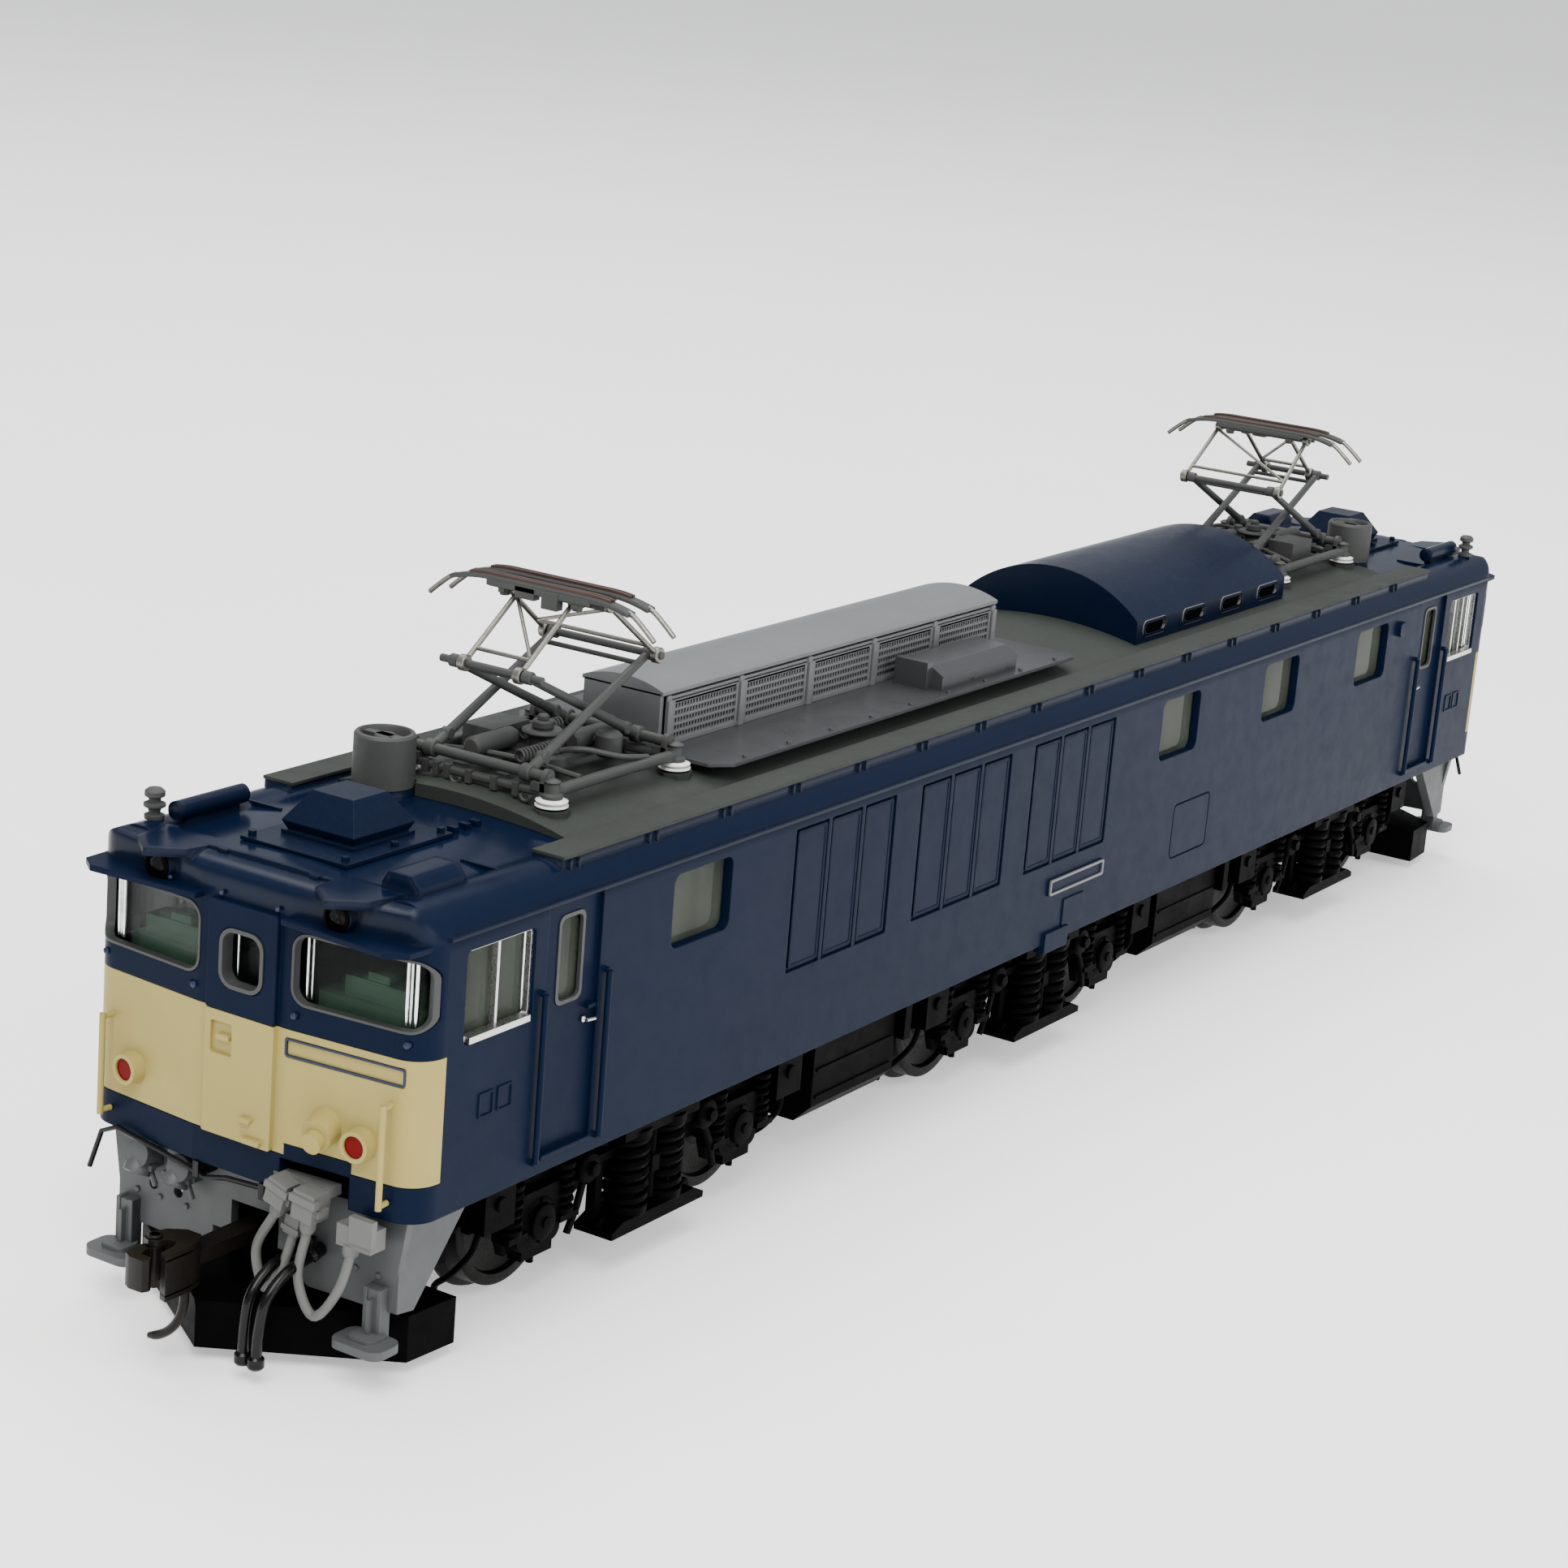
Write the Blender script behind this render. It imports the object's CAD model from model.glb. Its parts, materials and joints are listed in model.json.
import json
import math

import bmesh
import bpy
from mathutils import Matrix, Vector


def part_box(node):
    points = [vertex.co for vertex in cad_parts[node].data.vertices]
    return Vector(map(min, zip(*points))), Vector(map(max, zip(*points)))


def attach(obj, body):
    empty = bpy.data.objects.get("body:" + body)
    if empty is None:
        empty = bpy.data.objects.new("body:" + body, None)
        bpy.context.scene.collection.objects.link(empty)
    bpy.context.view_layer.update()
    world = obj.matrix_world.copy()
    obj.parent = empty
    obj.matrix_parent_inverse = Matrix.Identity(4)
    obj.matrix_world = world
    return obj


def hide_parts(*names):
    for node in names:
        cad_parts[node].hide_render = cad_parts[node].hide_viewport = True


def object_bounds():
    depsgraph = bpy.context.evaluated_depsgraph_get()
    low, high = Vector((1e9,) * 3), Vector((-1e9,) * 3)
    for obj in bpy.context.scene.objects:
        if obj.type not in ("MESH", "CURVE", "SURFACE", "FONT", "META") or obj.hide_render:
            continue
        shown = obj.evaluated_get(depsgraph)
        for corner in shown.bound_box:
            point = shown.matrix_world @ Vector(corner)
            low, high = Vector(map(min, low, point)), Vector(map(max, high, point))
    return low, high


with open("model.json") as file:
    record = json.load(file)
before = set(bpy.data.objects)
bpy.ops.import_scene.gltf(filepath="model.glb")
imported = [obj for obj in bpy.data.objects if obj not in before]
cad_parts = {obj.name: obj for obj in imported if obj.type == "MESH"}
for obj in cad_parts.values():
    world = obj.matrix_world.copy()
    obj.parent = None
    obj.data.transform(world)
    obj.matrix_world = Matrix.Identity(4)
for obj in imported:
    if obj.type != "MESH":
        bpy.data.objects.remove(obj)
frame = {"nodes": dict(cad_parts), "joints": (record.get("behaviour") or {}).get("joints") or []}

MM = 0.001
CAD_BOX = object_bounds()


# ---------- measures taken from the frame, in millimetres ----------

def node_box(node):
    """Lowest and highest corner of a CAD node in millimetres."""
    lo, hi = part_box(node)
    return Vector(lo) / MM, Vector(hi) / MM


HALF_W = node_box("nose_panel_front")[1].x
AXLE_R = (node_box("wheelset_1")[1].z - node_box("wheelset_1")[0].z) / 2
AXLES = [sum((node_box(f"wheelset_{i}")[k].y for k in (0, 1))) / 2 for i in range(1, 7)]
BOGIES = {
    "bogie_front": (AXLES[0] + AXLES[1]) / 2,
    "bogie_middle": (AXLES[2] + AXLES[3]) / 2,
    "bogie_rear": (AXLES[4] + AXLES[5]) / 2,
}
HALF_BASE = (AXLES[1] - AXLES[0]) / 2
JOINT = {j["name"]: Vector(j["pos_m"]) / MM for j in frame["joints"] if j.get("pos_m")}

# pantographs: middle and half spacing of the lower pivots, and the upper pivots seen from the middle
PANTO_Y = (JOINT["panto_raise_front"].y + JOINT["panto_lower_b_front_pivot"].y) / 2
PANTO_HALF = abs(JOINT["panto_raise_front"].y - JOINT["panto_lower_b_front_pivot"].y) / 2
ELBOW = JOINT["panto_elbow_a_front"] - Vector((0, PANTO_Y, 0))
HEAD = JOINT["panto_head_front_pivot"] - Vector((0, PANTO_Y, 0))
PIVOT_Z = JOINT["panto_raise_front"].z
# half spacings of the arm pairs: lower a and b, upper a and b at the elbow and at the head
LOWER_X = {"a": 5.3, "b": 4.0}
UPPER_X = {"a": (6.3, 5.9), "b": (3.05, 3.0)}
# share of the upper arms at which their cross brace sits
BRACE_AT = 0.2
# half spacing of the collector pans
PAN_Y = 1.5
# corners of the pantograph base frame, where the insulators stand
BASE_X = 8.2
BASE_Y = 9.3

COUPLER = JOINT["coupler_front_swing"]
KNUCKLE = JOINT["knuckle_front_open"]
# radius of the bent trip wire under the coupler
TRIP_R = 4.7
# middles of the air filter groups along each side, the column spacing and the middle height
FILTER_Y = (-48.95, -26.45, -3.95)
FILTER_PITCH = 5.9
FILTER_Z = 30.95


# ---------- shape building ----------

# edges turning by more than this are drawn sharp (radians)
SHARP_ANGLE = 0.6
HALF_TURN = Matrix.Rotation(math.pi, 4, "Z")
MIRROR_X = Matrix.Scale(-1, 4, (1, 0, 0))
ENDS = (("front", Matrix.Identity(4)), ("rear", HALF_TURN))
# how an outline's two numbers and the depth become x, y, z for each axis of extrusion
PUT = {"x": lambda u, v, w: (w, u, v), "y": lambda u, v, w: (v, w, u), "z": lambda u, v, w: (u, v, w)}
X, Y, Z = (1, 0, 0), (0, 1, 0), (0, 0, 1)


class Shape:
    """Gathers solids in millimetres, in the shared frame, and makes one object of them."""

    def __init__(self):
        self.bm = bmesh.new()
        self.at = Matrix.Identity(4)
        self.index = 0

    def take(self, verts, faces):
        """Adds points and faces, moved by self.at, in the material self.index."""
        made = [self.bm.verts.new(self.at @ Vector(v)) for v in verts]
        out = []
        for face in faces:
            new = self.bm.faces.new([made[i] for i in face])
            new.material_index = self.index
            out.append(new)
        return made, out

    def ease(self, faces, width, segments):
        """Bevels the sharp edges of some faces."""
        edges = {e for f in faces for e in f.edges if e.is_manifold and e.calc_face_angle(0) > 0.5}
        bmesh.ops.bevel(self.bm, geom=list(edges), offset=width, offset_type="OFFSET",
                        segments=segments, profile=0.5, affect="EDGES", clamp_overlap=True,
                        material=-1)

    def prism(self, outline, lo, hi, axis="z", bevel=0.0, segments=2):
        """An outline extruded from lo to hi along an axis; x and y of the outline are the other two."""
        area = sum(a[0] * b[1] - b[0] * a[1] for a, b in zip(outline, outline[1:] + outline[:1]))
        pts = outline if area > 0 else outline[::-1]
        put = PUT[axis]
        n = len(pts)
        verts = [put(u, v, lo) for u, v in pts] + [put(u, v, hi) for u, v in pts]
        faces = [list(range(n))[::-1], list(range(n, 2 * n))]
        faces += [[i, (i + 1) % n, n + (i + 1) % n, n + i] for i in range(n)]
        _, made = self.take(verts, faces)
        if bevel:
            self.ease(made, bevel, segments)

    def box(self, lo, hi, bevel=0.12, segments=2):
        """A box between two corners, given in any order, with its edges eased."""
        lo, hi = [min(p) for p in zip(lo, hi)], [max(p) for p in zip(lo, hi)]
        outline = [(lo[0], lo[1]), (hi[0], lo[1]), (hi[0], hi[1]), (lo[0], hi[1])]
        self.prism(outline, lo[2], hi[2], "z", min(bevel, min(h - w for h, w in zip(hi, lo)) * 0.4), segments)

    def lathe(self, start, axis, profile, n=28):
        """A profile of (distance along the axis, radius) turned about it from the start point."""
        axis = Vector(axis).normalized()
        side = axis.orthogonal().normalized()
        other = axis.cross(side)
        start = Vector(start)
        verts, rings = [], []
        for along, radius in profile:
            centre = start + axis * along
            if radius < 1e-6:
                rings.append([len(verts)])
                verts.append(centre)
                continue
            rings.append(list(range(len(verts), len(verts) + n)))
            for i in range(n):
                a = 2 * math.pi * i / n
                verts.append(centre + (side * math.cos(a) + other * math.sin(a)) * radius)
        faces = []
        for p, q in zip(rings, rings[1:]):
            for i in range(n):
                j = (i + 1) % n
                if len(p) == 1 and len(q) == 1:
                    continue
                if len(p) == 1:
                    faces.append([p[0], q[j], q[i]])
                elif len(q) == 1:
                    faces.append([p[i], p[j], q[0]])
                else:
                    faces.append([p[i], p[j], q[j], q[i]])
        if len(rings[0]) > 1:
            faces.append(rings[0][::-1])
        if len(rings[-1]) > 1:
            faces.append(rings[-1])
        self.take(verts, faces)

    def rod(self, a, b, r, n=14):
        """A round rod from a to b."""
        a, b = Vector(a), Vector(b)
        self.lathe(a, b - a, [(0, r), ((b - a).length, r)], n)

    def disc(self, start, axis, r, h, n=28, edge=0.12):
        """A round boss of height h with eased rims."""
        edge = min(edge, h * 0.4, r * 0.4)
        self.lathe(start, axis, [(0, 0), (0, r - edge), (edge, r), (h - edge, r), (h, r - edge), (h, 0)], n)

    def tube(self, points, r, n=10):
        """A round tube along a line of points, with flat ends; r is one radius or a list of them."""
        points = [Vector(p) for p in points]
        count = len(points)
        verts, normal = [], None
        for i, p in enumerate(points):
            along = (points[min(i + 1, count - 1)] - points[max(i - 1, 0)]).normalized()
            if normal is None:
                normal = along.orthogonal().normalized()
            normal = (normal - along * normal.dot(along)).normalized()
            other = along.cross(normal)
            radius = r[i] if isinstance(r, (list, tuple)) else r
            for k in range(n):
                a = 2 * math.pi * k / n
                verts.append(p + (normal * math.cos(a) + other * math.sin(a)) * radius)
        faces = []
        for i in range(count - 1):
            for k in range(n):
                m = (k + 1) % n
                faces.append([i * n + k, i * n + m, (i + 1) * n + m, (i + 1) * n + k])
        faces.append(list(range(n))[::-1])
        faces.append(list(range((count - 1) * n, count * n)))
        self.take(verts, faces)

    def sweep(self, points, section, up=Z):
        """A closed section of (sideways, upward) points carried along a line of points."""
        points = [Vector(p) for p in points]
        up = Vector(up)
        n, verts = len(section), []
        for i, p in enumerate(points):
            along = (points[min(i + 1, len(points) - 1)] - points[max(i - 1, 0)]).normalized()
            side = along.cross(up).normalized()
            lift = side.cross(along)
            verts += [p + side * u + lift * v for u, v in section]
        faces = [list(range(n))[::-1], list(range(len(verts) - n, len(verts)))]
        for i in range(len(points) - 1):
            for k in range(n):
                m = (k + 1) % n
                faces.append([i * n + k, i * n + m, (i + 1) * n + m, (i + 1) * n + k])
        self.take(verts, faces)

    def frame(self, outer, inner, lo, hi, axis="x"):
        """A flat ring between two outlines with the same number of points."""
        put = PUT[axis]
        n = len(outer)
        rings = ((outer, lo), (inner, lo), (outer, hi), (inner, hi))
        verts = [put(u, v, w) for ring, w in rings for u, v in ring]
        faces = []
        for i in range(n):
            j = (i + 1) % n
            faces += [[i, n + i, n + j, j], [2 * n + i, 2 * n + j, 3 * n + j, 3 * n + i],
                      [i, j, 2 * n + j, 2 * n + i], [n + i, 3 * n + i, 3 * n + j, n + j]]
        self.take(verts, faces)

    def twin(self, matrix):
        """Adds a copy of everything so far, moved by a matrix."""
        got = bmesh.ops.duplicate(self.bm, geom=self.bm.verts[:] + self.bm.edges[:] + self.bm.faces[:])
        verts = [g for g in got["geom"] if isinstance(g, bmesh.types.BMVert)]
        bmesh.ops.transform(self.bm, matrix=matrix, verts=verts)
        if matrix.determinant() < 0:
            faces = [g for g in got["geom"] if isinstance(g, bmesh.types.BMFace)]
            bmesh.ops.reverse_faces(self.bm, faces=faces)

    def piece(self, name, body, looks, replaces=(), slot=None):
        """Makes the object, rides it on its body and gives it its looks: one name or several."""
        bmesh.ops.recalc_face_normals(self.bm, faces=self.bm.faces)
        for f in self.bm.faces:
            f.smooth = True
        for e in self.bm.edges:
            e.smooth = e.is_manifold and e.calc_face_angle(0) < SHARP_ANGLE
        bmesh.ops.scale(self.bm, vec=(MM, MM, MM), verts=self.bm.verts)
        mesh = bpy.data.meshes.new(name)
        self.bm.to_mesh(mesh)
        self.bm.free()
        obj = bpy.data.objects.new(name, mesh)
        bpy.context.scene.collection.objects.link(obj)
        for key in ((looks,) if isinstance(looks, str) else looks):
            mesh.materials.append(MAT[key])
        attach(obj, body)
        if replaces:
            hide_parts(*replaces)
        return obj


def both_ends(make):
    """Runs a function for the front end and for the rear end."""
    def run():
        for end, turn in ENDS:
            make(end, turn)
    return run


def begin(turn=None):
    """A new shape, turned to the end where it belongs."""
    shape = Shape()
    if turn is not None:
        shape.at = turn
    return shape


def rounded(cu, cv, w, h, r, steps=5):
    """Outline of a rounded rectangle centred on cu, cv."""
    pts = []
    for k, (su, sv) in enumerate(((1, 1), (-1, 1), (-1, -1), (1, -1))):
        for i in range(steps + 1):
            a = math.pi / 2 * (k + i / steps)
            pts.append((cu + su * (w / 2 - r) + r * math.cos(a), cv + sv * (h / 2 - r) + r * math.sin(a)))
    return pts


def arc(centre, radius, start, end, steps, axes=("y", "z")):
    """Points on an arc; the angles in degrees run from the first axis to the second."""
    spot = {"x": 0, "y": 1, "z": 2}
    out = []
    for i in range(steps + 1):
        a = math.radians(start + (end - start) * i / steps)
        p = list(centre)
        p[spot[axes[0]]] += radius * math.cos(a)
        p[spot[axes[1]]] += radius * math.sin(a)
        out.append(Vector(p))
    return out


def smooth_line(points, steps=6):
    """A smooth curve through hand-chosen points."""
    pts = [Vector(p) for p in points]
    pts = [2 * pts[0] - pts[1]] + pts + [2 * pts[-1] - pts[-2]]
    out = []
    for i in range(1, len(pts) - 2):
        a, b, c, d = pts[i - 1:i + 3]
        for k in range(steps):
            t = k / steps
            out.append(0.5 * (2 * b + (c - a) * t + (2 * a - 5 * b + 4 * c - d) * t * t
                              + (3 * b - a - 3 * c + d) * t ** 3))
    out.append(pts[-2])
    return out


# ---------- materials ----------

class Nodes:
    """Short names for building one node material."""

    def __init__(self, name):
        self.mat = bpy.data.materials.new(name)
        self.mat.use_nodes = True
        self.tree = self.mat.node_tree
        self.shader = self.tree.nodes["Principled BSDF"]
        self.where = self.add("ShaderNodeTexCoord").outputs["Object"]

    def add(self, kind, **inputs):
        node = self.tree.nodes.new(kind)
        for key, value in inputs.items():
            self.put(node, key.replace("_", " "), value)
        return node

    def put(self, node, key, value):
        socket = node.inputs[key]
        if isinstance(value, bpy.types.NodeSocket):
            self.tree.links.new(value, socket)
        else:
            socket.default_value = value

    def noise(self, size_mm, detail=3.0, rough=0.6, stretch=(1, 1, 1)):
        """Noise with features of about size_mm, from 0 to 1."""
        scale = self.add("ShaderNodeMapping", Vector=self.where)
        scale.inputs["Scale"].default_value = [s / (size_mm * MM) for s in stretch]
        n = self.add("ShaderNodeTexNoise", Scale=1.0, Detail=detail, Roughness=rough)
        self.put(n, "Vector", scale.outputs["Vector"])
        return n.outputs["Fac"]

    def ramp(self, value, low, high, to_low=0.0, to_high=1.0):
        r = self.add("ShaderNodeMapRange")
        self.put(r, "Value", value)
        for key, v in (("From Min", low), ("From Max", high), ("To Min", to_low), ("To Max", to_high)):
            r.inputs[key].default_value = v
        return r.outputs["Result"]

    def mix(self, factor, a, b):
        m = self.add("ShaderNodeMix")
        m.data_type = "RGBA"
        self.put(m, "Factor", factor)
        for socket, value in ((m.inputs[6], a), (m.inputs[7], b)):
            if isinstance(value, bpy.types.NodeSocket):
                self.tree.links.new(value, socket)
            else:
                socket.default_value = (*value[:3], 1.0)
        return m.outputs[2]

    def math(self, kind, a, b=0.0):
        m = self.add("ShaderNodeMath")
        m.operation = kind
        for i, value in enumerate((a, b)):
            if isinstance(value, bpy.types.NodeSocket):
                self.tree.links.new(value, m.inputs[i])
            else:
                m.inputs[i].default_value = value
        return m.outputs[0]

    def bump(self, height, depth_mm, soft=None):
        """A bumped normal; soft is the radius in metres by which edges are shaded round."""
        b = self.add("ShaderNodeBump", Strength=1.0, Distance=depth_mm * MM)
        self.put(b, "Height", height)
        if soft is not None:
            edge = self.add("ShaderNodeBevel", Radius=soft)
            edge.samples = 4
            self.put(b, "Normal", edge.outputs["Normal"])
        return b.outputs["Normal"]

    def set(self, **values):
        for key, value in values.items():
            self.put(self.shader, key.replace("_", " "), value)
        return self.mat


def shade(colour, factor):
    """The colour made darker or lighter."""
    return tuple(c * factor for c in colour)


def paint(name, colour, rough=0.4, grain_mm=0.25, depth_mm=0.006, mottle=0.12, soft=0.12, dust=0.0,
          dust_colour=(0.30, 0.29, 0.26), coat=0.0, metallic=0.0, shine=0.3):
    """Painted or moulded plastic: fine orange peel, slow mottling, soft edges and a little dust on top."""
    n = Nodes(name)
    slow = n.noise(9.0, 4.0)
    fine = n.noise(grain_mm, 2.0, 0.5)
    speck = n.noise(0.6, 5.0, 0.7)
    base = n.mix(n.ramp(slow, 0.3, 0.7), shade(colour, 1 - mottle), shade(colour, 1 + mottle))
    base = n.mix(n.ramp(fine, 0.35, 0.65, 0.0, 0.35), base, shade(colour, 1 - mottle))
    if dust:
        up = n.add("ShaderNodeSeparateXYZ", Vector=n.add("ShaderNodeNewGeometry").outputs["Normal"])
        lies = n.math("MULTIPLY", n.ramp(up.outputs["Z"], 0.2, 1.0), n.ramp(speck, 0.45, 0.75, 0.2, 1.0))
        base = n.mix(n.math("MULTIPLY", lies, dust), base, dust_colour)
    sheen = n.ramp(n.noise(2.5, 5.0, 0.7), 0.3, 0.7, rough * 0.85, min(1.0, rough * 1.18))
    return n.set(Base_Color=base, Roughness=sheen, Normal=n.bump(fine, depth_mm, soft * MM), Coat_Weight=coat,
                 Coat_Roughness=0.12, Metallic=metallic, Specular_IOR_Level=shine)


def metal(name, colour, rough=0.3, stretch=(1, 1, 1), grain_mm=0.2, depth_mm=0.003, soft=0.08, tarnish=0.25):
    """Bare metal with drawn grain and slight tarnish."""
    n = Nodes(name)
    grain = n.noise(grain_mm, 3.0, 0.6, stretch)
    stain = n.noise(1.8, 5.0, 0.7)
    base = n.mix(n.ramp(stain, 0.42, 0.72), colour, shade(colour, 1 - tarnish))
    return n.set(Base_Color=base, Metallic=1.0, Roughness=n.ramp(grain, 0.3, 0.7, rough * 0.8, rough * 1.3),
                 Normal=n.bump(grain, depth_mm, soft * MM))


def body_paint(name, colour):
    """The shell: satin sides, glossier cab roofs, with faint moulding grain."""
    n = Nodes(name)
    slow = n.noise(14.0, 4.0)
    fine = n.noise(0.22, 2.0, 0.5)
    base = n.mix(n.ramp(slow, 0.3, 0.7), shade(colour, 0.93), shade(colour, 1.07))
    base = n.mix(n.ramp(fine, 0.4, 0.66, 0.0, 0.3), base, shade(colour, 1.25))
    split = n.add("ShaderNodeSeparateXYZ", Vector=n.where)
    roof = n.ramp(split.outputs["Z"], 0.0385, 0.0392)
    satin = n.ramp(n.noise(2.5, 5.0, 0.7), 0.3, 0.7, 0.36, 0.46)
    gloss = n.ramp(n.noise(3.5, 4.0, 0.7), 0.3, 0.7, 0.14, 0.22)
    blend = n.add("ShaderNodeMix")
    n.put(blend, "Factor", roof)
    n.tree.links.new(satin, blend.inputs[2])
    n.tree.links.new(gloss, blend.inputs[3])
    soft = n.ramp(roof, 0.0, 1.0, 0.18 * MM, 0.9 * MM)
    return n.set(Base_Color=base, Roughness=blend.outputs[0], Normal=n.bump(fine, 0.005, soft),
                 Specular_IOR_Level=n.ramp(roof, 0.0, 1.0, 0.045, 0.11))


def clear(name, tint, alpha=0.45, rough=0.03, dull=None):
    """Moulded window plastic, see-through with faint ripples and smears; dull colours its side panes."""
    n = Nodes(name)
    ripple = n.noise(3.0, 3.0)
    smear = n.noise(1.2, 6.0, 0.75)
    base = n.mix(n.ramp(smear, 0.3, 0.8), tint, shade(tint, 0.9))
    see, cover = 1.0, n.ramp(smear, 0.3, 0.8, alpha, alpha + 0.08)
    if dull:
        place = n.add("ShaderNodeSeparateXYZ", Vector=n.where)
        see = n.ramp(n.math("ABSOLUTE", place.outputs["Y"]), 0.1066, 0.1070)
        pane = n.mix(n.ramp(n.noise(4.0, 2.0, 0.5, (1, 1, 0.3)), 0.35, 0.65), dull, shade(dull, 0.55))
        base = n.mix(see, pane, base)
        cover = n.math("ADD", cover, n.ramp(see, 0.0, 1.0, 0.42, 0.0))
    return n.set(Base_Color=base, Transmission_Weight=see, IOR=1.2,
                 Roughness=n.ramp(smear, 0.35, 0.75, rough, rough * 3),
                 Specular_IOR_Level=0.25, Normal=n.bump(ripple, 0.01), Alpha=cover)


MAT = {
    "navy": body_paint("navy_paint", (0.0018, 0.0054, 0.0175)),
    "navy_part": paint("navy_part_paint", (0.0018, 0.0054, 0.0175), 0.30, 0.22, 0.005, 0.08, 0.12, 0.02, shine=0.09),
    "navy_panel": paint("navy_panel_paint", (0.0009, 0.0034, 0.0140), 0.5, 0.2, 0.006, 0.08, 0.1, shine=0.05),
    "cream": paint("cream_paint", (0.315, 0.254, 0.076), 0.45, 0.22, 0.005, 0.05, 0.12, 0.05, (0.28, 0.24, 0.12),
                   shine=0.2),
    "red": paint("red_lens", (0.12, 0.001, 0.001), 0.25, 0.3, 0.004, 0.2, 0.05, shine=0.06),
    "trim": metal("bright_trim", (0.60, 0.60, 0.58), 0.28, (1, 1, 1), 0.3, 0.002, 0.06, 0.12),
    "gasket": paint("gasket_grey", (0.034, 0.036, 0.035), 0.5, 0.15, 0.004, 0.1, 0.06),
    "deck": paint("roof_paint", (0.024, 0.028, 0.025), 0.62, 0.22, 0.012, 0.10, 0.1, 0.12, (0.055, 0.055, 0.045),
                  shine=0.15),
    "silver": paint("silver_paint", (0.125, 0.13, 0.132), 0.42, 0.18, 0.008, 0.06, 0.08, 0.05, metallic=0.25),
    "plate": paint("dull_silver_plate", (0.055, 0.058, 0.060), 0.30, 0.3, 0.0015, 0.05, 0.08, metallic=0.5),
    "resin": paint("grey_resin", (0.036, 0.038, 0.036), 0.55, 0.16, 0.012, 0.10, 0.08, 0.06, (0.10, 0.10, 0.09)),
    "arm": metal("arm_metal", (0.22, 0.21, 0.185), 0.42, (1, 1, 1), 0.25, 0.004, 0.04, 0.3),
    "brass": metal("aged_brass", (0.40, 0.31, 0.16), 0.35, (1, 1, 1), 0.25, 0.003, 0.04, 0.4),
    "strip": paint("contact_strip", (0.060, 0.036, 0.028), 0.5, 0.14, 0.006, 0.3, 0.05, metallic=0.5),
    "porcelain": paint("white_insulator", (0.80, 0.80, 0.77), 0.16, 0.3, 0.002, 0.03, 0.08, coat=0.6),
    "green": paint("interior_green", (0.105, 0.190, 0.130), 0.55, 0.25, 0.006, 0.06, 0.1),
    "black": paint("black_plastic", (0.0008, 0.0008, 0.0009), 0.5, 0.2, 0.014, 0.2, 0.12, 0.03, (0.008, 0.008, 0.007),
                   shine=0.02),
    "chassis": paint("black_chassis", (0.0007, 0.0007, 0.0008), 0.6, 0.25, 0.016, 0.2, 0.12, 0.03,
                     (0.006, 0.006, 0.005), shine=0.015),
    "skirt": paint("skirt_grey_paint", (0.055, 0.059, 0.060), 0.48, 0.2, 0.007, 0.06, 0.1, 0.04),
    "cable": paint("cable_grey", (0.105, 0.107, 0.102), 0.5, 0.2, 0.008, 0.07, 0.05),
    "coupler": paint("coupler_brown", (0.0060, 0.0048, 0.0036), 0.36, 0.18, 0.010, 0.2, 0.08, metallic=0.2, shine=0.15),
    "wheel": metal("wheel_steel", (0.011, 0.0105, 0.010), 0.5, (1, 1, 1), 0.2, 0.004, 0.1, 0.4),
    "steel": metal("plated_steel", (0.45, 0.45, 0.46), 0.3, (1, 1, 1), 0.2, 0.003, 0.1, 0.2),
    "dark_navy": paint("dark_navy_studs", (0.008, 0.014, 0.040), 0.4, 0.2, 0.005, 0.1, 0.05),
    "soot": paint("dark_inside", (0.0007, 0.0007, 0.0008), 0.7, 0.3, 0.008, 0.2, 0.05, shine=0.015),
    "lamp_dark": metal("dull_reflector", (0.10, 0.075, 0.055), 0.35, (1, 1, 1), 0.2, 0.003, 0.05, 0.4),
    "edge": metal("glass_edge", (0.85, 0.87, 0.86), 0.12, (1, 1, 0.2), 0.4, 0.004, 0.0, 0.3),
    "gloss_black": paint("glossy_black_rubber", (0.002, 0.002, 0.0022), 0.25, 0.25, 0.006, 0.2, 0.05, coat=0.1,
                         shine=0.15),
    "glass": clear("window_plastic", (0.22, 0.30, 0.26), 0.34, 0.015, (0.050, 0.058, 0.046)),
    "lamp": clear("lamp_lens", (0.92, 0.94, 0.92), 0.55, 0.03),
}

NODE_LOOK = {
    "body_shell": "navy", "arched_cover": "navy_part", "roof_hoods": "navy_part",
    "nose_panel_front": "cream", "nose_panel_rear": "cream", "tail_lenses": "red",
    "cab_glazing_front": "glass", "cab_glazing_rear": "glass", "side_glazing": "glass",
    "window_sashes": "trim", "machine_roof": "deck", "resistor_cover": "silver",
    "cover_plate": "plate", "roof_fittings": "resin", "cab_interior_front": "green",
    "cab_interior_rear": "green", "machine_room": "green", "chassis_frame": "chassis",
    "underfloor_boxes": "black", "end_skirt_front": "skirt", "end_skirt_rear": "skirt",
    "jumper_cables_front": "cable", "jumper_cables_rear": "cable", "brake_hoses_front": "black",
    "brake_hoses_rear": "black", "snow_ploughs": "black", "coupler_front": "coupler",
    "coupler_rear": "coupler", "knuckle_front": "coupler", "knuckle_rear": "coupler",
    "motor_case": "steel", "drive_rotor": "steel", "cardan_ball_front": "cable",
    "cardan_ball_rear": "cable", "cardan_shaft_front": "black", "cardan_shaft_rear": "black",
    "worm_front": "brass", "worm_rear": "brass", "middle_slider": "steel",
    "bogie_front": "black", "bogie_middle": "black", "bogie_rear": "black",
}


def look_of(node):
    """The material a CAD node wears until a visual piece takes its place."""
    if node in NODE_LOOK:
        return NODE_LOOK[node]
    if node.startswith("wheelset"):
        return "wheel"
    return "arm" if "upper" in node else "resin"


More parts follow.
